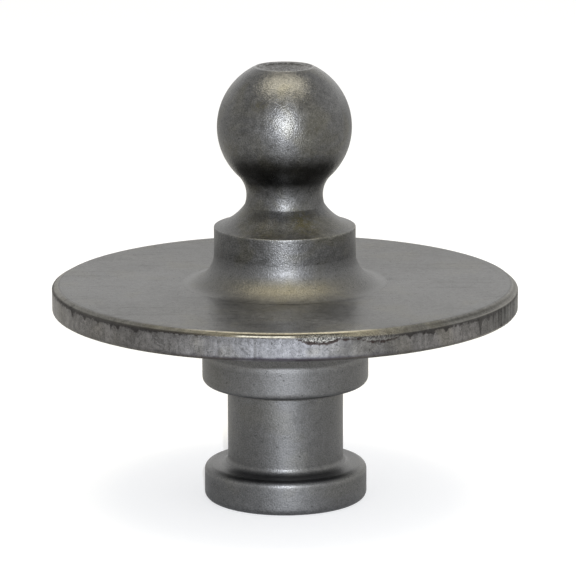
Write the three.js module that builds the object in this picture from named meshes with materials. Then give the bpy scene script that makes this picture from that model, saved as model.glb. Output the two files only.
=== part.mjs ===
// Gooseneck hitch ball on a fifth-wheel king pin: a 2-5/16 inch tow ball above a round flange plate, and a 2 inch
// king pin below it. Five turned pieces share the Z axis. The ball stud's spigot passes through the plate into a
// socket in the king pin, and two ring welds hold the stack together. The origin is the centre of the flat foot of
// the king pin, and Z runs up towards the ball.
import * as THREE from "three";

// Driving dimensions, in millimetres. Heights are measured up the axis from the foot.
const INCH = 25.4;
const SEGMENTS = 64; // facets round every turned piece, alike so that mating walls share their facets

const pin = {
  headRadius: (2.8125 / 2) * INCH,
  headHeight: 0.625 * INCH,
  footRounding: 0.125 * INCH,
  headRounding: 0.125 * INCH,
  neckRadius: (2.0 / 2) * INCH,
  neckFillet: 0.125 * INCH,
  collarRadius: (2.875 / 2) * INCH,
  collarBottom: 51.9,
  collarRounding: 0.125 * INCH,
  weldBevel: 4,
  socketClearance: 0.1,
  socketEndGap: 2,
};

const plate = {
  underside: 85.1,
  thickness: 11.8,
  radius: 102,
  topBevelWidth: 2.7,
  topBevelHeight: 1.9,
  lowerRounding: 1.4,
  seatRadius: 40, // inside radius of the flat that rests on a hitch's deck, clear of the weld round the collar
};
plate.top = plate.underside + plate.thickness;

const stud = {
  ballRadius: (2.3125 / 2) * INCH,
  ballHeight: 69.1, // centre of the ball above the plate
  crownRadius: 0.5 * INCH, // flat on top of the ball
  throatRadius: 16.7, // smallest radius, between ball and skirt
  throatArc: 0.5 * INCH,
  creaseAngle: 19.4, // degrees round the throat's arc, below its smallest radius, where the skirt begins
  skirtArc: 23,
  shoulderRadius: 31,
  shoulderHeight: 25.1, // top edge of the shoulder above the plate
  weldBevel: 4,
  spigotRadius: 0.75 * INCH,
  spigotDepth: 22, // below the plate's underside
  spigotChamfer: 1.5,
};

const weld = {
  shoulderFillet: 13.7, // concave radius of the dressed weld above the plate
  collarFillet: 3, // concave radius of the weld below the plate
};

const finish = {
  stud: { color: 0x6b6a67, roughness: 0.42, metalness: 1 },
  plate: { color: 0x7d7c79, roughness: 0.55, metalness: 1 },
  pin: { color: 0x76767a, roughness: 0.45, metalness: 1 },
  weld: { color: 0x72716c, roughness: 0.5, metalness: 1 },
};

// Points of an arc in the (radius, height) plane, from one angle to another in degrees.
function arc(centre, radius, fromDegrees, toDegrees, steps) {
  const points = [];
  for (let i = 0; i <= steps; i++) {
    const angle = THREE.MathUtils.degToRad(fromDegrees + ((toDegrees - fromDegrees) * i) / steps);
    points.push(new THREE.Vector2(centre.x + radius * Math.cos(angle), centre.y + radius * Math.sin(angle)));
  }
  return points;
}

// Points of the shorter arc of a given radius from a to b, bulging to the left of the way from a to b.
function arcBetween(a, b, radius, steps) {
  const chord = b.clone().sub(a);
  const half = chord.length() / 2;
  const left = new THREE.Vector2(-chord.y, chord.x).normalize();
  const centre = a.clone().lerp(b, 0.5).addScaledVector(left, -Math.sqrt(radius ** 2 - half ** 2));
  const from = Math.atan2(a.y - centre.y, a.x - centre.x);
  const sweep = -2 * Math.asin(half / radius);
  const toDegrees = THREE.MathUtils.radToDeg;
  return arc(centre, radius, toDegrees(from), toDegrees(from + sweep), steps);
}

function point(radius, height) {
  return new THREE.Vector2(radius, height);
}

// A named piece turned round the Z axis from its outline, which runs up the outside and ends where it began or on
// the axis.
function turned(name, outline, look) {
  const geometry = new THREE.LatheGeometry(outline, SEGMENTS);
  geometry.rotateX(Math.PI / 2);
  const mesh = new THREE.Mesh(geometry, new THREE.MeshStandardMaterial(look));
  mesh.name = name;
  return mesh;
}

// Ball, throat, skirt and shoulder, with the spigot below. The throat's arc is tangent to the ball.
function ballStud() {
  const ballCentre = point(0, plate.top + stud.ballHeight);
  const shoulderTop = plate.top + stud.shoulderHeight;
  const throatX = stud.throatRadius + stud.throatArc;
  const reach = stud.ballRadius + stud.throatArc;
  const throatCentre = point(throatX, ballCentre.y - Math.sqrt(reach ** 2 - throatX ** 2));
  const tangent = THREE.MathUtils.radToDeg(Math.asin((throatCentre.y - ballCentre.y) / reach));
  const crown = THREE.MathUtils.radToDeg(Math.acos(stud.crownRadius / stud.ballRadius));
  const throat = arc(throatCentre, stud.throatArc, 180 + stud.creaseAngle, 180 + tangent, 9);
  const skirt = arcBetween(point(stud.shoulderRadius, shoulderTop), throat[0], stud.skirtArc, 6);
  const ball = arc(ballCentre, stud.ballRadius, tangent, crown, 22);
  const spigotEnd = plate.underside - stud.spigotDepth;
  return turned(
    "ball_stud",
    [
      point(0, spigotEnd),
      point(stud.spigotRadius - stud.spigotChamfer, spigotEnd),
      point(stud.spigotRadius, spigotEnd + stud.spigotChamfer),
      point(stud.spigotRadius, plate.top),
      point(stud.shoulderRadius - stud.weldBevel, plate.top),
      point(stud.shoulderRadius, plate.top + stud.weldBevel),
      ...skirt.slice(0, -1),
      ...throat.slice(0, -1),
      ...ball,
      point(0, ball.at(-1).y),
    ],
    finish.stud,
  );
}

// The round plate: bored for the spigot, bevelled on its top edge and rounded on its lower one.
function flangePlate() {
  const bore = stud.spigotRadius + pin.socketClearance;
  const lowerEdge = arc(
    point(plate.radius - plate.lowerRounding, plate.underside + plate.lowerRounding),
    plate.lowerRounding,
    -90,
    0,
    3,
  );
  return turned(
    "flange_plate",
    [
      point(bore, plate.underside),
      point(plate.seatRadius, plate.underside),
      ...lowerEdge,
      point(plate.radius, plate.top - plate.topBevelHeight),
      point(plate.radius - plate.topBevelWidth, plate.top),
      point(bore, plate.top),
      point(bore, plate.underside),
    ],
    finish.plate,
  );
}

// Head, lock neck and collar of the king pin, with the socket in its top.
function kingPin() {
  const socket = stud.spigotRadius + pin.socketClearance;
  const socketEnd = plate.underside - stud.spigotDepth - pin.socketEndGap;
  const foot = arc(point(pin.headRadius - pin.footRounding, pin.footRounding), pin.footRounding, -90, 0, 4);
  const headTop = arc(
    point(pin.headRadius - pin.headRounding, pin.headHeight - pin.headRounding),
    pin.headRounding,
    0,
    90,
    4,
  );
  const neckFoot = arc(
    point(pin.neckRadius + pin.neckFillet, pin.headHeight + pin.neckFillet),
    pin.neckFillet,
    270,
    180,
    4,
  );
  const collarFoot = arc(
    point(pin.collarRadius - pin.collarRounding, pin.collarBottom + pin.collarRounding),
    pin.collarRounding,
    -90,
    0,
    4,
  );
  return turned(
    "king_pin",
    [
      point(0, 0),
      ...foot,
      ...headTop,
      ...neckFoot,
      point(pin.neckRadius, pin.collarBottom),
      ...collarFoot,
      point(pin.collarRadius, plate.underside - pin.weldBevel),
      point(pin.collarRadius - pin.weldBevel, plate.underside),
      point(socket, plate.underside),
      point(socket, socketEnd),
      point(0, socketEnd),
    ],
    finish.pin,
  );
}

// Ring weld in the bevel at the foot of the shoulder, dressed to a concave fillet.
function shoulderWeld() {
  const fillet = arc(
    point(stud.shoulderRadius + weld.shoulderFillet, plate.top + weld.shoulderFillet),
    weld.shoulderFillet,
    270,
    180,
    8,
  );
  const root = point(stud.shoulderRadius - stud.weldBevel, plate.top);
  return turned(
    "shoulder_weld",
    [root, ...fillet, point(stud.shoulderRadius, plate.top + stud.weldBevel), root],
    finish.weld,
  );
}

// Ring weld in the bevel at the top of the collar, under the plate.
function collarWeld() {
  const fillet = arc(
    point(pin.collarRadius + weld.collarFillet, plate.underside - weld.collarFillet),
    weld.collarFillet,
    180,
    90,
    4,
  );
  const root = point(pin.collarRadius - pin.weldBevel, plate.underside);
  return turned(
    "collar_weld",
    [root, point(pin.collarRadius, plate.underside - pin.weldBevel), ...fillet, root],
    finish.weld,
  );
}

const hitchBall = new THREE.Group();
hitchBall.add(ballStud(), flangePlate(), kingPin(), shoulderWeld(), collarWeld());

export default hitchBall;
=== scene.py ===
"""Looks of the gooseneck hitch ball: bare turned steel on a plain pale floor, in soft studio light.

Each CAD piece is replaced by a finer one of the same outline, with the small marks that its edges and faces
have. Outlines are in millimetres, as (radius, height) pairs; meshes are in metres.
"""

import itertools
import math

import bpy
import numpy as np
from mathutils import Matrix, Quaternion, Vector


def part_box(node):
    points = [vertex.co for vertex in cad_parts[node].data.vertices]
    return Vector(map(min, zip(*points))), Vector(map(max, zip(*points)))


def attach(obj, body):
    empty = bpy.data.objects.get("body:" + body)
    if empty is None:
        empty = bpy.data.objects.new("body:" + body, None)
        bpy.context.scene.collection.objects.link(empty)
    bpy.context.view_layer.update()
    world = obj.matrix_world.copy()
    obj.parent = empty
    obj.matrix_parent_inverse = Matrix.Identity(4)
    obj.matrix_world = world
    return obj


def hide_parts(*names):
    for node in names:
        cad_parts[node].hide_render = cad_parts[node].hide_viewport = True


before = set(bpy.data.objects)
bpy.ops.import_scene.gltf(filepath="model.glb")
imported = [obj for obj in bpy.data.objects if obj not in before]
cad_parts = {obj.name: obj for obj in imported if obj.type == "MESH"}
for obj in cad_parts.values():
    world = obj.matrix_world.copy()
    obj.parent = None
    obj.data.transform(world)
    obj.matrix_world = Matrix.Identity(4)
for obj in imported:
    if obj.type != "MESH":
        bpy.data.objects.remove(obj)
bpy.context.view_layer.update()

MM = 0.001
BODY = "root"

# Heights and outer radii come from the CAD pieces, and the rest repeats the design's own dimensions.
plate_low, plate_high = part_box("flange_plate")
stud_low, stud_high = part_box("ball_stud")
collar_weld_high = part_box("collar_weld")[1]
shoulder_weld_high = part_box("shoulder_weld")[1]

UNDERSIDE = plate_low.z / MM
TOP = plate_high.z / MM
CROWN = stud_high.z / MM
SPIGOT_END = stud_low.z / MM
PLATE_RADIUS = plate_high.x / MM
TOE_RADIUS = shoulder_weld_high.x / MM
COLLAR_TOE_RADIUS = collar_weld_high.x / MM

BALL_RADIUS = 29.36875
BALL_CENTRE = TOP + 69.1
CROWN_RADIUS = 12.7
CROWN_RING = (11.6, 8.6)  # outer and inner radius of the ring round the crown's recess
CROWN_RING_DEPTH = 0.05
RECESS_RADIUS = 8.0
RECESS_DEPTH = 0.25
THROAT_RADIUS = 16.7
THROAT_ARC = 12.7
CREASE = 19.4
SKIRT_ARC = 23
SHOULDER_RADIUS = 31
SHOULDER_TOP = TOP + 25.1
WELD_BEVEL = 4
SPIGOT_RADIUS = 19.05
SPIGOT_CHAMFER = 1.5
BORE_RADIUS = 19.15
SOCKET_END_GAP = 2
HEAD_RADIUS = 35.71875
HEAD_HEIGHT = 15.875
NECK_RADIUS = 25.4
COLLAR_RADIUS = 36.5125
COLLAR_BOTTOM = 51.9
PIN_ROUNDING = 3.175  # of the foot, the head's top edge, the neck's fillet and the collar's lower edge
BEVEL_WIDTH = 2.7
BEVEL_HEIGHT = 1.9
LOWER_ROUNDING = 1.5  # a tenth of a millimetre more than the CAD plate's
ROLL_OFF = 0.1  # how far the top falls away towards the bevel
ROLL_OFF_WIDTH = 3.4

FRONT_ANGLE = -math.pi / 2
FULL_TURN = 2 * math.pi
EDGE_WIDTH = 0.45  # how far the bright wear reaches from a rounded edge
SHARP_ANGLE = math.radians(50)

rng = np.random.default_rng(2316)


# ---------------------------------------------------------------- smooth noise and shapes for the meshes


def hashed(ix, iy, iz, seed):
    """A number from 0 to 1 for each corner of a whole-number lattice."""
    h = (ix * 374761393 + iy * 668265263 + iz * 1440662683 + seed * 974634777) & 0xFFFFFFFF
    h = ((h ^ (h >> 13)) * 1274126177) & 0xFFFFFFFF
    return ((h ^ (h >> 16)) & 0xFFFF) / 65535.0


def field(x, y, z, size, seed):
    """Value noise from -1 to 1, with lumps about size across."""
    cells, shares = [], []
    for axis in (x, y, z):
        q = np.asarray(axis, float) / size
        whole = np.floor(q).astype(np.int64)
        part = q - whole
        cells.append(whole)
        shares.append(part * part * (3 - 2 * part))
    total = 0.0
    for step in itertools.product((0, 1), repeat=3):
        weight = 1.0
        for share, one in zip(shares, step):
            weight = weight * (share if one else 1 - share)
        total = total + weight * hashed(*(cell + one for cell, one in zip(cells, step)), seed)
    return 2 * total - 1


def smooth(value, low, high):
    """0 below low and 1 above high, easing between them."""
    t = np.clip((value - low) / (high - low), 0, 1)
    return t * t * (3 - 2 * t)


def band(value, start, full, ebb, end):
    """Rises from 0 to 1 between start and full, and falls back between ebb and end."""
    return smooth(value, start, full) * (1 - smooth(value, ebb, end))


def hump(value, middle, width, power=2):
    """1 at the middle and falling away either side, with steeper sides at a higher power."""
    return np.exp(-(((value - middle) / width) ** power))


def from_front(angle):
    """How far round from the front an angle is, positive towards +X."""
    return np.arctan2(np.cos(angle), -np.sin(angle))


# ---------------------------------------------------------------- turned meshes


def arc(centre, radius, start, end, steps):
    """Corners along an arc, from one angle to another in degrees."""
    angles = np.radians(np.linspace(start, end, steps + 1))
    return [(centre[0] + radius * math.cos(a), centre[1] + radius * math.sin(a)) for a in angles]


def arc_between(a, b, radius, steps):
    """Corners along the shorter arc of a given radius from a to b, bulging to the left of the way."""
    a, b = np.array(a), np.array(b)
    chord = b - a
    half = np.linalg.norm(chord) / 2
    left = np.array([-chord[1], chord[0]]) / (2 * half)
    centre = (a + b) / 2 - left * math.sqrt(radius**2 - half**2)
    start = math.degrees(math.atan2(*(a - centre)[::-1]))
    return arc(centre, radius, start, start - 2 * math.degrees(math.asin(half / radius)), steps)


def outline(corners, step):
    """Rounds each corner that has a third number, and cuts the run after it into steps, of a length of its
    own where it has a fourth. Gives the points (n, 2) and how far each is from a rounded edge (n)."""
    corners = [(*c, *(0, step)[len(c) - 2 :]) for c in corners]
    closed = corners[0][0] > 0
    count = len(corners)
    points, on_edge, steps = [], [], []
    for i, (r, z, rounding, own_step) in enumerate(corners):
        here = np.array([r, z])
        if not rounding:
            points.append(here)
            on_edge.append(False)
            steps.append(own_step)
            continue
        back = np.array(corners[i - 1][:2]) - here
        on = np.array(corners[(i + 1) % count][:2]) - here
        back_length, on_length = np.linalg.norm(back), np.linalg.norm(on)
        back, on = back / back_length, on / on_length
        half = math.acos(np.clip(back @ on, -1, 1)) / 2
        cut = min(rounding / math.tan(half), 0.48 * back_length, 0.48 * on_length)
        radius = cut * math.tan(half)
        centre = here + (back + on) / np.linalg.norm(back + on) * radius / math.sin(half)
        a, b = here + back * cut - centre, here + on * cut - centre
        turn = math.pi - 2 * half
        for t in np.linspace(0, 1, 5):
            points.append(centre + (math.sin((1 - t) * turn) * a + math.sin(t * turn) * b) / math.sin(turn))
            on_edge.append(t == 0.5)
            steps.append(own_step)
    dense, marked = [], []
    ends = zip(points, points[1:] + points[:1], on_edge, steps)
    for i, (p, q, mark, own_step) in enumerate(ends):
        dense.append(p)
        marked.append(mark)
        if i == len(points) - 1 and not closed:
            break
        pieces = max(1, math.ceil(np.linalg.norm(q - p) / own_step))
        for k in range(1, pieces):
            dense.append(p + (q - p) * k / pieces)
            marked.append(False)
    dense = np.array(dense)
    run = np.concatenate([[0], np.cumsum(np.linalg.norm(np.diff(dense, axis=0), axis=1))])
    edges = run[np.array(marked)]
    far = np.full(len(dense), 99.0)
    near = np.min(np.abs(run[:, None] - edges[None]), axis=1) if len(edges) else far
    return dense, near


def turned(name, corners, segments, step, shape=None):
    """A piece turned round the Z axis. shape takes the points' radius, height and angle, and gives new radii
    and heights and the marks to paint, each an array with a row per outline point."""
    points, near = outline(corners, step)
    count = len(points)
    closed = points[0, 0] > 1e-6
    angle = np.repeat(np.linspace(0, FULL_TURN, segments, endpoint=False)[None], count, axis=0)
    r = np.repeat(points[:, :1], segments, axis=1)
    z = np.repeat(points[:, 1:], segments, axis=1)
    marks = {"edge": np.repeat(hump(near, 0, EDGE_WIDTH)[:, None], segments, axis=1)}
    if shape:
        r, z, more = shape(r, z, angle)
        marks.update(more)
    ring = np.arange(count * segments).reshape(count, segments)
    poles = [] if closed else [0, count - 1]
    for i in poles:
        ring[i] = ring[i, 0]
    after = np.roll(ring, -1, axis=1)
    faces = []
    for i in range(count if closed else count - 1):
        k = (i + 1) % count
        if i in poles:
            faces += np.stack([ring[i], after[k], ring[k]], 1).tolist()
        elif k in poles:
            faces += np.stack([ring[i], after[i], ring[k]], 1).tolist()
        else:
            faces += np.stack([ring[i], after[i], after[k], ring[k]], 1).tolist()
    used = np.unique(ring)
    number = np.zeros(count * segments, int)
    number[used] = np.arange(len(used))
    number = number.tolist()
    co = np.stack([r * np.cos(angle), r * np.sin(angle), z], -1).reshape(-1, 3)[used] * MM
    mesh = bpy.data.meshes.new(name)
    mesh.from_pydata(co.tolist(), [], [[number[v] for v in f] for f in faces])
    mesh.validate()
    for key, values in marks.items():
        layer = mesh.attributes.new(key, "FLOAT", "POINT")
        layer.data.foreach_set("value", values.reshape(-1)[used].astype(np.float32))
    mesh.polygons.foreach_set("use_smooth", [True] * len(mesh.polygons))
    mesh.set_sharp_from_angle(angle=SHARP_ANGLE)
    piece = bpy.data.objects.new(name, mesh)
    bpy.context.scene.collection.objects.link(piece)
    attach(piece, BODY)
    return piece


def dents(r, z, angle, places):
    """How deep each point lies in small dings, in mm. A place is (radius, height, angle, width, depth)."""
    x, y = r * np.cos(angle), r * np.sin(angle)
    depth = np.zeros_like(r)
    for radius, height, turn, width, deep in places:
        away = (x - radius * math.cos(turn)) ** 2 + (y - radius * math.sin(turn)) ** 2 + (z - height) ** 2
        depth += deep * np.exp(-away / width**2)
    return depth


# ---------------------------------------------------------------- materials

WHITE = (1, 1, 1, 1)
BALL_UNDERSIDE_SHADE = (0.008, 0.008, 0.008, 1)
PIN_SHADE = (0.008, 0.008, 0.009, 1)
OIL_STAIN = (0.095, 0.087, 0.052, 1)
FACED = (0.04, 0.038, 0.036, 1)
FACED_GLANCING = (0.35, 0.34, 0.33, 1)
CROWN_EDGE_HIGHLIGHT = (0.3, 0.3, 0.3, 1)
WARM_REFLECTION_TINT = (1.16, 1.08, 0.85, 1)
RIM_SIDE, RIM_FRONT, RIM_RIGHT = (1.47, 1.41, 1.38, 1), (1.38, 1.39, 1.46, 1), (0.48, 0.47, 0.455, 1)
BEVEL_SIDE, BEVEL_FRONT = (1.12, 1.1, 1.04, 1), (0.85, 0.78, 0.6, 1)
BEVEL_GLANCING = (0.9, 0.88, 0.84, 1)
GAP = (0.015, 0.013, 0.01, 1)
INNER_LINE, OUTER_LINE = (0.62, 0.58, 0.48, 1), (0.62, 0.63, 0.63, 1)
RIDGE = (0.22, 0.215, 0.2, 1)
SCALE = (0.013, 0.011, 0.010, 1)
GRIT_DARK, GRIT_BRIGHT = (0.06, 0.06, 0.055, 1), (0.5, 0.49, 0.46, 1)
RUST = (0.02, 0.012, 0.0105, 1)
LOWER_EDGE_SHADE = (0.03, 0.026, 0.038, 1)
TOE_SHADE_LINE = (0.02, 0.018, 0.013, 1)

OIL_FILM = 0.2  # how much oil lies on all the steel
OIL_FILM_ROUGHNESS = 0.22
TURNING = 0.36  # how far turning marks stretch the reflections along the axis


def add_node(tree, kind, values=(), out=0, **settings):
    """One output of a new node. An input's value is a number, a colour or another node's output."""
    made = tree.nodes.new("ShaderNode" + kind)
    for key, value in settings.items():
        setattr(made, key, value)
    for key, value in dict(values).items():
        if isinstance(value, bpy.types.NodeSocket):
            tree.links.new(value, made.inputs[key])
        else:
            made.inputs[key].default_value = value
    return made.outputs[out] if made.outputs else None


class Shader:
    """One procedural steel, built node by node. A value is a number, a colour or another node's output."""

    def __init__(self, name):
        self.material = bpy.data.materials.new(name)
        self.material.use_nodes = True
        self.material.node_tree.nodes.clear()
        place = self.node("TexCoord", out="Object")
        self.at = self.node("VectorMath", {0: place, "Scale": 1 / MM}, operation="SCALE")
        self.z = self.node("SeparateXYZ", {0: self.at}, out="Z")

    def node(self, kind, values=(), out=0, **settings):
        return add_node(self.material.node_tree, kind, values, out, **settings)

    def folded(self, operation, values):
        total = values[0]
        for value in values[1:]:
            total = self.node("Math", {0: total, 1: value}, operation=operation)
        return total

    def times(self, *values):
        return self.folded("MULTIPLY", values)

    def plus(self, *values):
        return self.folded("ADD", values)

    def minus(self, *values):
        return self.folded("SUBTRACT", values)

    def most(self, *values):
        return self.folded("MAXIMUM", values)

    def noise(self, scale, detail=3.0, rough=0.5, at=None, distortion=0.0):
        """Noise about 0.5, with lumps 1/scale mm across."""
        values = {"Vector": at or self.at, "Scale": scale, "Detail": detail, "Roughness": rough}
        return self.node("TexNoise", {**values, "Distortion": distortion})

    def squeezed(self, x, y, z, at=None):
        return self.node("VectorMath", {0: at or self.at, 1: (x, y, z)}, operation="MULTIPLY")

    def span(self, value, low, high, to_low=0.0, to_high=1.0):
        """Eases from to_low at low to to_high at high."""
        values = {"Value": value, "From Min": low, "From Max": high, "To Min": to_low, "To Max": to_high}
        return self.node("MapRange", values, interpolation_type="SMOOTHSTEP")

    def bell(self, value, middle, width):
        """1 at the middle, and 0 beyond the width either side."""
        away = self.node("Math", {0: self.minus(value, middle)}, operation="ABSOLUTE")
        return self.span(away, 0, width, 1, 0)

    def mix(self, share, a, b, blend="MIX"):
        return self.node("Mix", {0: share, 6: a, 7: b}, out=2, data_type="RGBA", blend_type=blend)

    def filtered(self, colour, by):
        """A colour times a colour."""
        return self.mix(1.0, colour, by, "MULTIPLY")

    def tint(self, colour, factor):
        """A colour times a number."""
        return self.filtered(colour, self.node("CombineColor", {0: factor, 1: factor, 2: factor}))

    def mark(self, name):
        """What the meshes have painted on their points under this name."""
        return self.node("Attribute", out="Fac", attribute_name=name)

    def finish(self, colour, roughness, height, metallic=1.0, glancing=WHITE):
        """height is in mm, and glancing colours what the steel reflects at a low angle."""
        bump = self.node("Bump", {"Strength": 1.0, "Distance": MM, "Height": height})
        round_axis = self.node("Tangent", direction_type="RADIAL", axis="Z")
        values = {
            "Base Color": colour,
            "Metallic": metallic,
            "Roughness": roughness,
            "Normal": bump,
            "Specular Tint": glancing,
            "Coat Weight": OIL_FILM,
            "Coat Roughness": OIL_FILM_ROUGHNESS,
            "Coat IOR": 1.5,
            "Coat Normal": bump,
            "Anisotropic": TURNING,
            "Anisotropic Rotation": 0.25,
            "Tangent": round_axis,
        }
        self.node("OutputMaterial", {"Surface": self.node("BsdfPrincipled", values)})
        return self.material


def blasted(name, tone, roughness=0.43, grain=0.13, oil=0.35, clouds=1.0, speckle=1.0):
    """Steel that was turned and then blasted: fine grain, cloudy tone, an oily cast and dark specks."""
    s = Shader(name)
    cloud = s.noise(0.035, 3)
    mottle = s.noise(0.36, 4, 0.65)
    fine = s.noise(1.7, 1, 0.5)
    specks = s.span(s.noise(0.75, 3, 0.7), 0.6, 0.72)
    film = s.times(s.span(s.noise(0.045, 3, 0.55, distortion=0.6), 0.5, 0.66), oil)
    oily = (tone * 1.04, tone * 0.97, tone * 0.66, 1)
    colour = s.mix(film, (tone, tone, tone, 1), oily)
    level = s.times(
        s.span(cloud, 0.3, 0.7, 0.88, 1.12),
        s.span(mottle, 0.28, 0.72, 1 - 0.22 * clouds, 1 + 0.18 * clouds),
        s.span(fine, 0.3, 0.7, 1 - 0.2 * speckle, 1 + 0.24 * speckle),
        s.span(specks, 0, 1, 1, 0.5),
        s.span(s.mark("edge"), 0, 1, 1, 1.35),
    )
    rough = s.plus(
        s.span(mottle, 0.25, 0.75, -0.04, 0.04),
        s.span(cloud, 0.3, 0.7, -0.03, 0.03),
        roughness,
    )
    rings = s.noise(1.0, 2, 0.6, at=s.squeezed(0.004, 0.004, 2.2))
    height = s.plus(
        s.times(fine, grain),
        s.times(mottle, 0.04),
        s.times(rings, 0.012),
        s.times(specks, -0.04),
    )
    return s, s.tint(colour, level), rough, height


def stud_steel():
    s, colour, rough, height = blasted("stud_steel", 0.11)
    # Couplers have rubbed the top of the ball smooth; its underside is painted dark, a painted shade, and
    # made a little smoother.
    rubbed_and_highlit = s.span(s.z, BALL_CENTRE + 9, BALL_CENTRE + 17)
    rough = s.minus(rough, s.times(rubbed_and_highlit, 0.12))
    ragged = s.span(s.noise(0.45, 4, 0.7), 0.4, 0.6, 0.25, 1.0)
    colour = s.mix(s.times(s.mark("stain"), ragged), colour, OIL_STAIN)
    marked = s.noise(1.0, 3, 0.7, at=s.squeezed(1.3, 0.45, 1))
    facing = s.times(s.mark("facing"), s.span(marked, 0.38, 0.58, 0.1, 0.85))
    colour = s.mix(facing, colour, FACED)
    # The crown's edge is painted paler all round, a painted highlight broken by the facing marks.
    crown = s.times(s.mark("crown"), s.span(marked, 0.35, 0.55, 0.3, 0.8))
    colour = s.mix(crown, colour, CROWN_EDGE_HIGHLIGHT)
    # Painted shade on the underside of the ball.
    ball_underside_shade = s.times(s.mark("ball_underside_shade"), s.span(s.noise(0.12, 3, 0.6), 0.3, 0.7, 0.8, 1.0))
    colour = s.mix(s.times(ball_underside_shade, 0.88), colour, BALL_UNDERSIDE_SHADE)
    rough = s.minus(rough, s.times(ball_underside_shade, 0.14))
    rough = s.plus(rough, s.times(s.bell(s.z, BALL_CENTRE - 32, 6), 0.08))
    # Painted shade below the crease.
    colour = s.tint(colour, s.span(s.mark("shadow"), 0, 1, 1, 0.55))
    return s.finish(colour, rough, height, glancing=s.mix(facing, WHITE, FACED_GLANCING))


def pin_steel():
    s, colour, rough, height = blasted(
        "pin_steel", 0.147, roughness=0.575, oil=0.12, clouds=0.5, grain=0.085, speckle=0.7
    )
    # Where rubbed, the steel is smoother and painted a little brighter, a painted highlight.
    rubbed_and_highlit = s.mark("rubbed_and_highlit")
    rough = s.minus(rough, s.times(rubbed_and_highlit, 0.1))
    colour = s.tint(colour, s.span(rubbed_and_highlit, 0, 1, 1, 1.1))
    colour = s.tint(colour, s.span(s.mark("bright"), 0, 1, 1, 1.4))
    # Painted shade in the head's corner at the front and a painted shadow under the collar.
    colour = s.mix(s.times(s.mark("pin_painted_shade"), 0.9), colour, PIN_SHADE)
    return s.finish(colour, rough, height)


def weld_steel():
    s, colour, rough, height = blasted(
        "weld_steel", 0.125, roughness=0.51, oil=0.2, clouds=0.5, grain=0.15, speckle=0.6
    )
    # A warm painted reflection tints the lower bead at the front, and the bead was dressed into the plate.
    warm_reflection = s.times(s.bell(s.z, TOP + 4, 5.5), s.mark("warm_reflection"))
    colour = s.filtered(colour, s.mix(warm_reflection, WHITE, WARM_REFLECTION_TINT))
    dressed = s.mark("dressed")
    colour = s.tint(colour, s.span(dressed, 0, 1, 1, 1.12))
    rough = s.minus(rough, s.times(dressed, 0.06))
    height = s.times(height, s.span(dressed, 0, 1, 1, 0.35))
    return s.finish(colour, rough, height)


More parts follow.
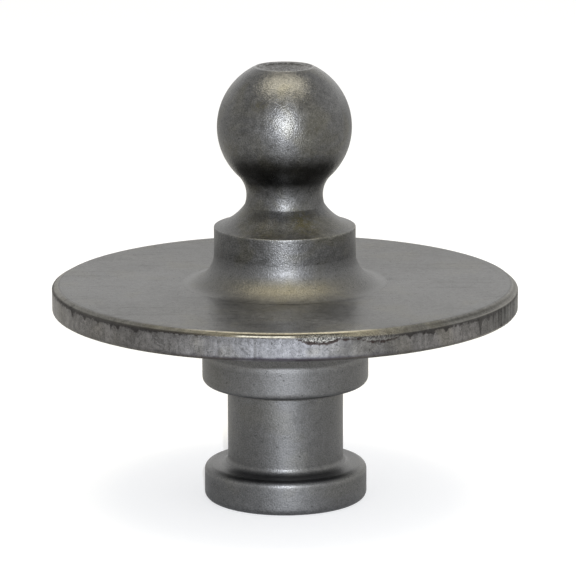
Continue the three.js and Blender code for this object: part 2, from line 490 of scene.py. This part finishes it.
def plate_steel():
    s, colour, rough, height = blasted(
        "plate_steel", 0.11, roughness=0.44, oil=0.2, grain=0.05, speckle=0.5
    )
    below, across, reach, dark, front = (s.mark(n) for n in ("below", "across", "reach", "dark", "front"))
    broken, rust, lower, wall = (s.mark(n) for n in ("broken", "rust", "lower", "wall"))
    bevel, double, toe_shade, right = (s.mark(n) for n in ("bevel", "double", "toe_shade", "right"))
    jagged = s.noise(0.5, 4, 0.7)
    streak = s.noise(0.55, 3, 0.6, at=s.squeezed(1, 1, 0.06))

    # The top is clouded and scuffed, across and at a slant, with dark specks and pale flecks.
    slant = s.node("VectorRotate", {"Vector": s.at, "Angle": 0.9}, rotation_type="Z_AXIS")
    scuffs_across = s.noise(1.0, 3, 0.55, at=s.squeezed(0.03, 0.5, 0.5))
    scuffs_slant = s.noise(1.0, 3, 0.55, at=s.squeezed(0.35, 0.03, 1, at=slant))
    worn = s.times(
        s.span(s.noise(0.045, 5, 0.6), 0.3, 0.7, 1.0, 1.14),
        s.span(s.noise(0.4, 5, 0.85), 0.3, 0.7, 0.86, 1.16),
        s.span(scuffs_across, 0.56, 0.68, 1, 0.84),
        s.span(scuffs_slant, 0.6, 0.7, 1, 1.12),
        s.span(s.noise(0.8, 2, 0.6), 0.64, 0.69, 1, 0.6),
        s.span(s.noise(0.6, 2, 0.6, at=s.squeezed(1, 1.6, 1)), 0.66, 0.71, 1, 1.45),
    )

    # Bare bluish steel with a few wavy patches on the front of the rim, and upright streaks at its sides,
    # with painted shade just below the bevel and in two places along the rim.
    patch = s.noise(0.1, 4, 0.6, distortion=0.7)
    stripes = s.noise(0.8, 2, 0.5, at=s.squeezed(1, 1, 0.03))
    level = s.times(
        s.span(patch, 0.36, 0.46, 0.8, 1.0),
        s.span(streak, 0.3, 0.7, 0.9, 1.1),
        s.span(s.bell(patch, 0.47, 0.022), 0, 1, 1, 0.72),
        s.span(s.times(s.span(stripes, 0.36, 0.62), right), 0, 1, 1, 1.5),
        s.mark("shaded"),
        s.span(below, 0, 4, 0.8, 1),
    )
    bare = s.mix(right, s.mix(front, RIM_SIDE, RIM_FRONT), RIM_RIGHT)
    rim = s.mix(wall, WHITE, s.tint(bare, level))
    rim = s.mix(bevel, rim, s.mix(front, BEVEL_SIDE, BEVEL_FRONT))
    colour = s.filtered(colour, rim)
    colour = s.tint(colour, s.span(worn, 0.7, 1.2, 0.7, 1.2))

    # Lines along the bevel, none cut in the mesh: painted shade in a groove on it, under its lower edge and
    # along its inner edge away from the front; bright lines on its inner and outer edges near the front,
    # worn steel with a painted highlight; and a paler ridge line on the right.
    broad = s.span(jagged, 0.35, 0.55, 0.55, 1)
    inner_line = s.times(s.bell(across, -0.16, 0.42), s.span(front, 0.35, 0.8, 0, 0.95))
    inner_shade = s.times(s.bell(across, -0.12, 0.26), s.span(front, 0.2, 0.6, 0.6, 0))
    outer_line = s.times(s.bell(across, 0.74, 0.24), double)
    under_line = s.times(s.bell(across, 1.15, 0.3), s.times(double, 0.55))
    groove = s.times(s.bell(across, 0.4, 0.3), s.mark("groove"))
    ridge = s.times(s.bell(across, 0.88, 0.17), s.mark("ridge"))
    gap = s.most(groove, under_line, inner_shade)
    colour = s.mix(s.times(gap, 0.9), colour, GAP)
    colour = s.mix(s.times(inner_line, broad), colour, INNER_LINE)
    colour = s.mix(s.times(outer_line, broad), colour, OUTER_LINE)
    colour = s.mix(s.times(ridge, broad), colour, RIDGE)

    # Dark scale that hangs in drips below the bevel.
    hang = s.plus(
        reach,
        s.span(s.noise(0.55, 5, 0.75), 0.3, 0.7, -0.7, 0.6),
        s.times(s.span(streak, 0.6, 0.76), s.times(reach, 0.8)),
    )
    scale = s.times(
        s.span(s.minus(hang, below), -0.45, 0.45),
        s.span(s.plus(below, s.mark("start")), -0.5, 0.0),
        dark,
    )
    colour = s.mix(scale, colour, SCALE)

    # The broken patch with its rust, painted shade along the lower edge, and a painted shadow line round the
    # weld's toe at the front.
    grit = s.noise(1.7, 2, 0.8)
    grains = s.mix(s.span(grit, 0.44, 0.6), GRIT_DARK, GRIT_BRIGHT)
    grains = s.tint(grains, s.span(below, -1.2, 1.6, 0.45, 1.1))
    colour = s.mix(s.times(broken, 0.9), colour, grains)
    rusty = s.span(s.plus(rust, s.span(jagged, 0.3, 0.7, -0.25, 0.25)), 0.3, 0.7)
    colour = s.mix(s.times(rusty, 0.92), colour, RUST)
    colour = s.mix(s.times(lower, 0.85), colour, LOWER_EDGE_SHADE)
    colour = s.mix(s.times(toe_shade, s.span(jagged, 0.35, 0.6, 0.3, 0.9)), colour, TOE_SHADE_LINE)

    dull = s.most(scale, rusty)
    rough = s.plus(rough, s.times(wall, 0.1))
    height = s.plus(height, s.times(broken, grit, 0.5))
    shade = s.times(worn, s.span(s.most(toe_shade, dull), 0, 1, 1, 0.4))
    glancing = s.tint(s.mix(bevel, WHITE, BEVEL_GLANCING), shade)
    return s.finish(colour, rough, height, metallic=s.span(dull, 0, 1, 1, 0.8), glancing=glancing)


# ---------------------------------------------------------------- the pieces


def ball_stud():
    """Ball, throat, skirt, shoulder and spigot. The throat's arc is tangent to the ball."""
    throat_x = THROAT_RADIUS + THROAT_ARC
    reach = BALL_RADIUS + THROAT_ARC
    throat_centre = (throat_x, BALL_CENTRE - math.sqrt(reach**2 - throat_x**2))
    tangent = math.degrees(math.asin((throat_centre[1] - BALL_CENTRE) / reach))
    crown_angle = math.degrees(math.acos(CROWN_RADIUS / BALL_RADIUS))
    throat = arc(throat_centre, THROAT_ARC, 180 + CREASE, 180 + tangent, 30)
    skirt = arc_between((SHOULDER_RADIUS, SHOULDER_TOP), throat[0], SKIRT_ARC, 24)
    ball = arc((0, BALL_CENTRE), BALL_RADIUS, tangent, crown_angle, 96)
    corners = [
        (0, SPIGOT_END, 0, 4),
        (SPIGOT_RADIUS - SPIGOT_CHAMFER, SPIGOT_END, 0.2),
        (SPIGOT_RADIUS, SPIGOT_END + SPIGOT_CHAMFER, 0.2, 4),
        (SPIGOT_RADIUS, TOP, 0, 3),
        (SHOULDER_RADIUS - WELD_BEVEL, TOP, 0, 2),
        (SHOULDER_RADIUS, TOP + WELD_BEVEL),
        (SHOULDER_RADIUS, SHOULDER_TOP, 0.8),
        *skirt[1:-1],
        *throat[:-1],
        *ball[:-1],
        (CROWN_RADIUS, CROWN, 0.3),
        (CROWN_RING[0], CROWN - CROWN_RING_DEPTH, 0.1),
        (CROWN_RING[1], CROWN - CROWN_RING_DEPTH, 0.15),
        (RECESS_RADIUS, CROWN - RECESS_DEPTH, 0.15),
        (0, CROWN - RECESS_DEPTH),
    ]

    # Dings all over the ball, and along the shoulder's edge.
    places = []
    for _ in range(26):
        latitude, turn = math.radians(rng.uniform(-35, 55)), rng.uniform(0, FULL_TURN)
        radius, height = BALL_RADIUS * math.cos(latitude), BALL_CENTRE + BALL_RADIUS * math.sin(latitude)
        places.append((radius, height, turn, rng.uniform(0.35, 0.9), rng.uniform(0.03, 0.1)))
    for _ in range(16):
        height, turn = SHOULDER_TOP - rng.uniform(-0.1, 0.6), rng.uniform(0, FULL_TURN)
        places.append((SHOULDER_RADIUS, height, turn, rng.uniform(0.3, 0.8), rng.uniform(0.08, 0.22)))

    # Yellowish stains: direction, height, half width, half height, strength.
    stains = [
        (FRONT_ANGLE + 0.38, SHOULDER_TOP + 5.5, 6, 5, 1.0),
        (FRONT_ANGLE - 0.42, BALL_CENTRE + 13, 3, 1.6, 0.8),
        (FRONT_ANGLE + 0.5, BALL_CENTRE + 4, 9, 4, 0.25),
        (FRONT_ANGLE - 0.3, SHOULDER_TOP + 1, 9, 1.5, 0.5),
    ]
    for _ in range(12):
        turn = rng.uniform(0.4, 5.8) + FRONT_ANGLE
        stains.append((turn, rng.uniform(SHOULDER_TOP, BALL_CENTRE + 20), 6, 4, 0.4))

    def shape(r, z, angle):
        depth = dents(r, z, angle, places)
        x, y = r * np.cos(angle), r * np.sin(angle)
        inside = (z > CROWN - 0.5) & (r < RECESS_RADIUS + 0.2)
        rings = 0.05 * np.sin(r * FULL_TURN / 0.85) + 0.06 * field(x, y, z, 1.4, 3)
        from_ball = np.hypot(r, z - BALL_CENTRE)
        on_wall = z < SHOULDER_TOP + 1
        r = r - np.where(on_wall, depth, depth * r / from_ball)
        z = z - np.where(on_wall, 0, depth * (z - BALL_CENTRE) / from_ball)
        z = z + np.where(inside, rings - 0.06, 0)

        # Painted shade on the underside of the ball.
        ball_underside_shade = band(BALL_CENTRE - z, 7, 16, 21, 25.2)
        stain = np.zeros_like(r)
        for turn, height, width, tall, strong in stains:
            across = np.arctan2(np.sin(angle - turn), np.cos(angle - turn)) * r
            stain = np.maximum(stain, strong * hump(across, 0, width) * hump(z, height, tall))

        # Painted shade on the skirt below the crease, most of all at the front, with a darker blot to the
        # left, and fainter painted shade on the throat's left above the crease.
        side = from_front(angle)
        under_crease = throat[0][1] - z
        on_skirt = z > SHOULDER_TOP + 0.5
        shadow = band(under_crease, -0.5, 0.3, 1.0, 6.5) * (0.35 + 0.65 * hump(side, 0.1, 0.8, 4))
        blot = hump(side, -0.6, 0.35) * hump(under_crease, 2.6, 2.4)
        shadow = np.maximum(shadow, blot) * on_skirt
        shadow += 0.32 * hump(side, -0.45, 0.35) * hump(under_crease, -5.5, 5)

        # A painted highlight round the crown's edge.
        crown = hump(np.hypot(r - CROWN_RADIUS, z - CROWN), 0, 0.45)
        facing = (z > CROWN - 2) * (1 - smooth(r, CROWN_RADIUS - 0.9, CROWN_RADIUS - 0.2))
        return r, z, {"ball_underside_shade": ball_underside_shade, "stain": stain, "crown": crown, "facing": facing, "shadow": shadow}

    return turned("ball_stud_steel", corners, 350, 0.6, shape)


def flange_plate():
    """The round plate. Places round its rim are distances u along it from the front, positive to +X."""
    inner_edge = PLATE_RADIUS - BEVEL_WIDTH
    bevel_parts = (0.3, 0.5, 0.7)
    corners = [
        (BORE_RADIUS, UNDERSIDE, 0, 12),
        (PLATE_RADIUS - 4, UNDERSIDE),
        *arc((PLATE_RADIUS - LOWER_ROUNDING, UNDERSIDE + LOWER_ROUNDING), LOWER_ROUNDING, -90, 0, 7),
        (PLATE_RADIUS, TOP - BEVEL_HEIGHT, 0.3),
        *[(PLATE_RADIUS - BEVEL_WIDTH * t, TOP - BEVEL_HEIGHT * (1 - t)) for t in bevel_parts],
        (inner_edge, TOP, 0.3),
        (PLATE_RADIUS - 7, TOP, 0, 8),
        (TOE_RADIUS + 1.7, TOP, 0, 0.4),
        (TOE_RADIUS - 0.3, TOP, 0, 8),
        (BORE_RADIUS, TOP, 0, 6),
    ]

    # Drips of scale and grooves in the rim: place, width, and length or depth.
    drips = [(rng.uniform(-320, 320), rng.uniform(0.6, 1.4), rng.uniform(0.4, 1.8)) for _ in range(30)]
    drips += [(-112, 0.8, 1.3), (-101, 1.0, 1.5), (-91, 0.8, 1.2), (-78, 0.8, 2.2), (-68, 1.6, 1.2)]
    drips += [(55, 1.4, 1.5), (97, 1.0, 6), (108, 0.6, 4), (114, 0.7, 8), (121, 0.7, 8)]
    grooves = [(rng.uniform(106, 140), rng.uniform(0.4, 0.8), rng.uniform(0.1, 0.3)) for _ in range(9)]
    grooves += [(rng.uniform(-320, 320), rng.uniform(0.5, 0.9), rng.uniform(0.04, 0.12)) for _ in range(40)]
    shift = {key: rng.uniform(0, 6) for key in ("a", "b", "c")}

    def shape(r, z, angle):
        x, y = r * np.cos(angle), r * np.sin(angle)
        turn = from_front(angle)
        u = turn * PLATE_RADIUS
        front = hump(u, -2, 46)

        # The bevel is taller on the right than elsewhere, and the top rolls off gently towards it.
        wide = 1 + 0.03 * np.sin(3 * turn + shift["a"]) + 0.02 * np.sin(7 * turn + shift["b"])
        tall = 0.82 + 0.55 * band(u, 12, 50, 150, 230) + 0.03 * np.sin(5 * turn + shift["c"])
        on_bevel = (r > inner_edge - 0.25) & (z > TOP - BEVEL_HEIGHT - 0.25)
        on_wall = (r > PLATE_RADIUS - 0.01) & (z < TOP - BEVEL_HEIGHT)
        middle = UNDERSIDE + 5
        r = np.where(on_bevel, PLATE_RADIUS - (PLATE_RADIUS - r) * wide, r)
        squeeze = np.clip((z - middle) / (TOP - BEVEL_HEIGHT - middle), 0, 1)
        z = np.where(on_bevel, TOP - (TOP - z) * tall, z - on_wall * squeeze * (tall - 1) * BEVEL_HEIGHT)
        below = TOP - BEVEL_HEIGHT * tall - z  # depth below the bevel's lower edge
        down_bevel = 1 + below / (BEVEL_HEIGHT * tall)
        across = np.clip(np.where(on_bevel | on_wall, down_bevel, -0.35 * (inner_edge - r)), -8, 8)
        fall = np.clip(1 - (inner_edge - r) / ROLL_OFF_WIDTH, 0, 1) ** 2
        z = z - ROLL_OFF * fall * np.clip(1 - across, 0, 1) * (z > middle)
        rim = (r > PLATE_RADIUS - 3.2) & (z > UNDERSIDE + 0.01)
        wall = rim * smooth(below, -0.3, 0.1)

        # How far the dark scale reaches down the rim: further away from the front.
        aside = smooth(np.abs(u + 4), 17, 36)
        reach = 0.3 + 0.35 * aside + 0.6 * hump(u, -90, 30) + 0.9 * hump(u, 98, 9)
        reach = reach + 0.15 * band(u, 38, 60, 150, 200) + 0.2 * field(u, 0, 0, 9, 11)
        for place, width, length in drips:
            reach = reach + aside * length * hump(u, place, width)
        dark = rim * (0.3 + (0.7 - 0.12 * (u > 0)) * aside) * (0.86 + 0.14 * field(u, 0, 0, 25, 12))

        # A broken patch along the edge, right of the front, with a rusty lower border, and a fainter one
        # beside it.
        first, second, link = hump(u, 14.5, 10, 4), hump(u, 41, 9, 4), hump(u, 28, 8, 4)
        bottom = np.maximum(2.6 * first * np.cos((u - 14.5) / 9), np.maximum(2.2 * second, 0.7 * link))
        bottom = bottom + 0.25 * field(u, 0, 0, 1.6, 13)
        share = np.maximum(first, 0.25 * second) + 0.2 * hump(u, 27, 5)
        broken = rim * share * smooth(below, -1.3, -0.8) * smooth(bottom - below, 0, 0.4)
        rust = rim * np.maximum(first, np.maximum(0.8 * second, 0.65 * link))
        rust = rust * hump(below - bottom, 0.15, 0.75)

        # What those marks cut from the rim. Every cut goes inwards.
        grit = field(x, y, z, 0.9, 21)
        cut = broken * (0.3 + 0.25 * grit + 0.15 * field(x, y, z, 2.4, 22))
        cut = cut + rust * 0.2 * (1 + 0.5 * grit)
        for place, width, deep in grooves:
            cut = cut + wall * deep * hump(u, place, width) * smooth(below, -0.2, 0.6)
        uneven = 0.05 + 0.04 * field(x, y, z * 0.15, 1.6, 23) + 0.05 * field(x, y, z, 11, 24)
        cut = np.where(rim, np.maximum(cut + wall * uneven, 0), 0)
        # Painted shade along the rim's lower edge, darkest at the front.
        lower_shade_top = UNDERSIDE + 2.1 + 0.4 * field(x, y, 0, 1.5, 25)
        lower = rim * smooth(lower_shade_top - z, -0.4, 0.7) * (0.15 + 0.85 * front)
        flat = (z > TOP - 0.01) & (r < inner_edge - 3)
        z = z - np.where(flat, 0.03 + 0.03 * field(x, y, 0, 24, 26), 0)
        r = r - cut

        marks = {
            "below": below,
            "reach": reach,
            "dark": dark,
            "front": front,
            "bevel": rim * band(across, -0.1, 0.1, 0.9, 1.1),
            "across": across,
            "right": band(u, 85, 125, 150, 200),
            "double": band(u, -24, -17, 3, 5),
            # Painted shade right of the front and further round to the left.
            "shaded": 1 - 0.3 * hump(u, 38, 12) - 0.2 * hump(u, -66, 18),
            "start": 0.25 * (1 - smooth(u, -20, 60)),
            "groove": band(u, -24, -17, 20, 34) + 0.55 * band(u, 45, 85, 150, 190),
            "ridge": band(u, 80, 98, 128, 150),
            # A painted shadow line round the weld's toe, at the front only.
            "toe_shade": hump(r, TOE_RADIUS + 0.5, 0.55) * (z > TOP - 0.5) * front**2,
            "broken": broken,
            "rust": rust,
            "lower": lower,
            "wall": wall,
        }
        return r, z, marks

    return turned("flange_plate_steel", corners, 1300, 0.75, shape)


def king_pin():
    """Head, lock neck and collar, with the socket that takes the stud's spigot."""
    rounding = PIN_ROUNDING
    socket_end = SPIGOT_END - SOCKET_END_GAP
    corners = [
        (0, 0),
        *arc((HEAD_RADIUS - rounding, rounding), rounding, -90, 0, 12),
        *arc((HEAD_RADIUS - rounding, HEAD_HEIGHT - rounding), rounding, 0, 90, 12),
        *arc((NECK_RADIUS + rounding, HEAD_HEIGHT + rounding), rounding, 270, 180, 14),
        (NECK_RADIUS, COLLAR_BOTTOM, 0.25),
        *arc((COLLAR_RADIUS - rounding, COLLAR_BOTTOM + rounding), rounding, -90, 0, 12),
        (COLLAR_RADIUS, UNDERSIDE - WELD_BEVEL),
        (COLLAR_RADIUS - WELD_BEVEL, UNDERSIDE),
        (BORE_RADIUS, UNDERSIDE, 0.3),
        (BORE_RADIUS, socket_end),
        (0, socket_end),
    ]

    # Dings on the head, the neck and the collar in turn.
    walls = [(HEAD_RADIUS, 2, 14), (NECK_RADIUS, 21, 50), (COLLAR_RADIUS, 54, 80)]
    places = []
    for i in range(30):
        radius, low, high = walls[i % 3]
        place = (radius, rng.uniform(low, high), rng.uniform(0, FULL_TURN))
        places.append((*place, rng.uniform(0.3, 0.9), rng.uniform(0.04, 0.12)))

    def shape(r, z, angle):
        depth = dents(r, z, angle, places)
        facing_front = -np.sin(angle)
        off_neck = r > NECK_RADIUS + 1

        # Painted shade in the corner on top of the head, at the front, and a painted shadow all round under
        # the collar.
        crease = hump(z, HEAD_HEIGHT - 0.5, 1.2) * (r > NECK_RADIUS + 0.5) * (r < HEAD_RADIUS - 0.2)
        crease = crease * smooth(facing_front, 0.4, 0.8)
        under_collar = 1 - smooth(z, COLLAR_BOTTOM + 0.2, COLLAR_BOTTOM + 2)
        under_collar = 0.75 * under_collar * off_neck * (z > COLLAR_BOTTOM - 1)

        # The head's edge, the neck's fillet, and the top of the head away from the front are made smoother
        # and painted a little brighter, a painted highlight.
        rubbed_and_highlit = hump(z, HEAD_HEIGHT - 2.8, 0.8) * (r > HEAD_RADIUS - 3)
        rubbed_and_highlit = rubbed_and_highlit + 0.7 * hump(z, HEAD_HEIGHT + 1.7, 0.8) * (r < NECK_RADIUS + 4)
        on_head = off_neck * smooth(z, HEAD_HEIGHT - 2, HEAD_HEIGHT - 0.5) * (z < HEAD_HEIGHT + 1)
        rubbed_and_highlit = np.maximum(rubbed_and_highlit, 1.2 * on_head * (1 - smooth(facing_front, 0.3, 0.75)))

        # The plate's shadow ends sharply on the collar, so the steel just below it is painted brighter.
        past_shadow = UNDERSIDE - 18.4 - z
        bright = band(past_shadow, 0, 0.4, 0.5, 4) * (r > NECK_RADIUS + 2) * smooth(facing_front, 0, 0.6)
        return r - depth, z, {"pin_painted_shade": np.maximum(crease, under_collar), "rubbed_and_highlit": rubbed_and_highlit, "bright": bright}

    return turned("king_pin_steel", corners, 360, 0.9, shape)


def shoulder_weld():
    """The dressed weld at the foot of the shoulder, a little uneven."""
    fillet = TOE_RADIUS - SHOULDER_RADIUS
    corners = [
        (SHOULDER_RADIUS - WELD_BEVEL, TOP),
        *arc((SHOULDER_RADIUS + fillet, TOP + fillet), fillet, 270, 180, 40),
        (SHOULDER_RADIUS, TOP + WELD_BEVEL),
    ]

    def shape(r, z, angle):
        x, y = r * np.cos(angle), r * np.sin(angle)
        height = (z - TOP) / fillet
        outside = (height > 0.002) & (height < 0.9) & (r > SHOULDER_RADIUS + 0.05)
        wave = 0.06 * field(x, y, z * 0.5, 6, 31) + 0.03 * field(x, y, z, 1.8, 32)
        fade = np.clip(4 * height, 0, 1) * np.clip(5 * (0.9 - height), 0, 1)
        cut = 0.7 * np.where(outside, (0.09 + wave) * fade, 0)
        # The front of the bead takes a warm painted reflection; the part near the toe was dressed.
        marks = {
            "warm_reflection": hump(from_front(angle), 0, 0.75),
            "dressed": smooth(r, TOE_RADIUS - 8, TOE_RADIUS - 1),
        }
        return r - cut, z - cut, marks

    return turned("shoulder_weld_bead", corners, 480, 0.8, shape)


def collar_weld():
    """The weld under the plate, left as it was laid, with a ripple round it."""
    fillet = COLLAR_TOE_RADIUS - COLLAR_RADIUS
    ripples, ripple_depth = 110, 0.16
    corners = [
        (COLLAR_RADIUS - WELD_BEVEL, UNDERSIDE),
        (COLLAR_RADIUS, UNDERSIDE - WELD_BEVEL),
        *arc((COLLAR_RADIUS + fillet, UNDERSIDE - fillet), fillet, 180, 90, 14),
    ]

    def shape(r, z, angle):
        bead = 0.5 + 0.5 * np.cos(angle * ripples + 1.2 * field(angle * 20, 0, 0, 1, 41))
        middle = hump(UNDERSIDE - z, 0.9, 0.9) * (r > COLLAR_RADIUS + 0.05)
        cut = ripple_depth * bead * middle
        return r - cut, z + cut * 0.5, {}

    return turned("collar_weld_bead", corners, 720, 0.8, shape)


made = {
    "ball_stud": (ball_stud(), stud_steel()),
    "flange_plate": (flange_plate(), plate_steel()),
    "king_pin": (king_pin(), pin_steel()),
    "shoulder_weld": (shoulder_weld(), weld_steel()),
    "collar_weld": (collar_weld(), weld_steel()),
}
for node, (piece, material) in made.items():
    piece.data.materials.append(material)
    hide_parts(node)


# ---------------------------------------------------------------- floor, light and camera

FLOOR_HALF = 8.0
FLOOR_GREY = (0.6, 0.6, 0.6, 1)
FLOOR_GLOW = 0.45  # seen by the camera only, so that the floor meets the background
ROOM_COLOUR = (1.0, 0.995, 0.98, 1)
ROOM_STRENGTH = [(0, 0.55), (0.12, 0.98), (0.4, 0.95), (0.8, 0.7), (1, 0.7)]  # by height, 1 straight up
ROOM_SIDEWAYS = 0.16  # how much brighter the room is on the right


def paper():
    material = bpy.data.materials.new("floor_paper")
    material.use_nodes = True
    tree = material.node_tree
    tree.nodes.clear()
    camera_ray = add_node(tree, "LightPath", out="Is Camera Ray")
    values = {
        "Base Color": FLOOR_GREY,
        "Roughness": 0.9,
        "Specular IOR Level": 0.1,
        "Emission Color": WHITE,
        "Emission Strength": add_node(tree, "Math", {0: camera_ray, 1: FLOOR_GLOW}, operation="MULTIPLY"),
    }
    sheet = add_node(tree, "BsdfPrincipled", values)
    # Seen from below, the paper isn't there.
    underneath = add_node(tree, "NewGeometry", out="Backfacing")
    nothing = add_node(tree, "BsdfTransparent")
    one_sided = add_node(tree, "MixShader", {0: underneath, 1: sheet, 2: nothing})
    add_node(tree, "OutputMaterial", {"Surface": one_sided})
    return material


floor_mesh = bpy.data.meshes.new("floor")
floor_corners = [(x * FLOOR_HALF, y * FLOOR_HALF, 0) for x, y in ((-1, -1), (1, -1), (1, 1), (-1, 1))]
floor_mesh.from_pydata(floor_corners, [], [(0, 1, 2, 3)])
floor_mesh.materials.append(paper())
floor = bpy.data.objects.new("floor", floor_mesh)
bpy.context.scene.collection.objects.link(floor)


def softbox(name, place, target, size, watts, colour):
    data = bpy.data.lights.new(name, "AREA")
    data.shape = "RECTANGLE"
    data.size, data.size_y = size
    data.energy = watts
    data.color = colour
    light = bpy.data.objects.new(name, data)
    light.location = place
    light.rotation_mode = "QUATERNION"
    light.rotation_quaternion = (Vector(target) - Vector(place)).to_track_quat("-Z", "Y")
    light.visible_camera = False
    bpy.context.scene.collection.objects.link(light)


softbox(
    "overhead",
    place=(0, -0.05, 1.15),
    target=(0, -0.05, 0),
    size=(0.95, 0.5),
    watts=7.0,
    colour=(1.0, 0.92, 0.70),
)
softbox(
    "front",
    place=(0.04, -1.75, 0.566),
    target=(0, 0, 0.12),
    size=(0.025, 0.025),
    watts=36.0,
    colour=(0.92, 0.96, 1.04),
)

world = bpy.data.worlds.new("studio")
bpy.context.scene.world = world
world.use_nodes = True
sky = world.node_tree
sky.nodes.clear()
upward = add_node(sky, "SeparateXYZ", {0: add_node(sky, "TexCoord", out="Generated")}, out="Z")
sideways = upward.node.outputs["X"]
by_height = add_node(sky, "FloatCurve", {"Value": upward})  # a bright band of wall above the floor's edge
mapping = by_height.node.mapping
for i, point in enumerate(ROOM_STRENGTH):
    if i < 2:
        mapping.curves[0].points[i].location = point
    else:
        mapping.curves[0].points.new(*point)
mapping.extend = "HORIZONTAL"
mapping.update()
strength = add_node(sky, "Math", {0: sideways, 1: ROOM_SIDEWAYS, 2: by_height}, operation="MULTIPLY_ADD")
room = add_node(sky, "Background", {"Color": ROOM_COLOUR, "Strength": strength})
backdrop = add_node(sky, "Background", {"Color": WHITE, "Strength": 1.0})  # seen by the camera only
camera_ray = add_node(sky, "LightPath", out="Is Camera Ray")
either = add_node(sky, "MixShader", {0: camera_ray, 1: room, 2: backdrop})
add_node(sky, "OutputWorld", {"Surface": either})

CAMERA_DISTANCE = 1.8781  # level distance from the axis
CAMERA_HEIGHT = 0.5127
CAMERA_PITCH = 0.2193  # downwards, in radians
CAMERA_ROLL = -0.0035
CAMERA_YAW = 0.0007
SENSOR_WIDTH = 36
LENS = 274.6

camera_data = bpy.data.cameras.new("camera")
camera_data.sensor_width = SENSOR_WIDTH
camera_data.lens = LENS
camera_data.clip_end = 60
camera = bpy.data.objects.new("camera", camera_data)
camera.location = (0, -CAMERA_DISTANCE, CAMERA_HEIGHT)
ahead = Vector((
    math.sin(CAMERA_YAW) * math.cos(CAMERA_PITCH),
    math.cos(CAMERA_YAW) * math.cos(CAMERA_PITCH),
    -math.sin(CAMERA_PITCH),
))
camera.rotation_mode = "QUATERNION"
camera.rotation_quaternion = ahead.to_track_quat("-Z", "Y") @ Quaternion((0, 0, 1), CAMERA_ROLL)
bpy.context.scene.collection.objects.link(camera)
bpy.context.scene.camera = camera
bpy.context.scene.view_settings.view_transform = "Standard"
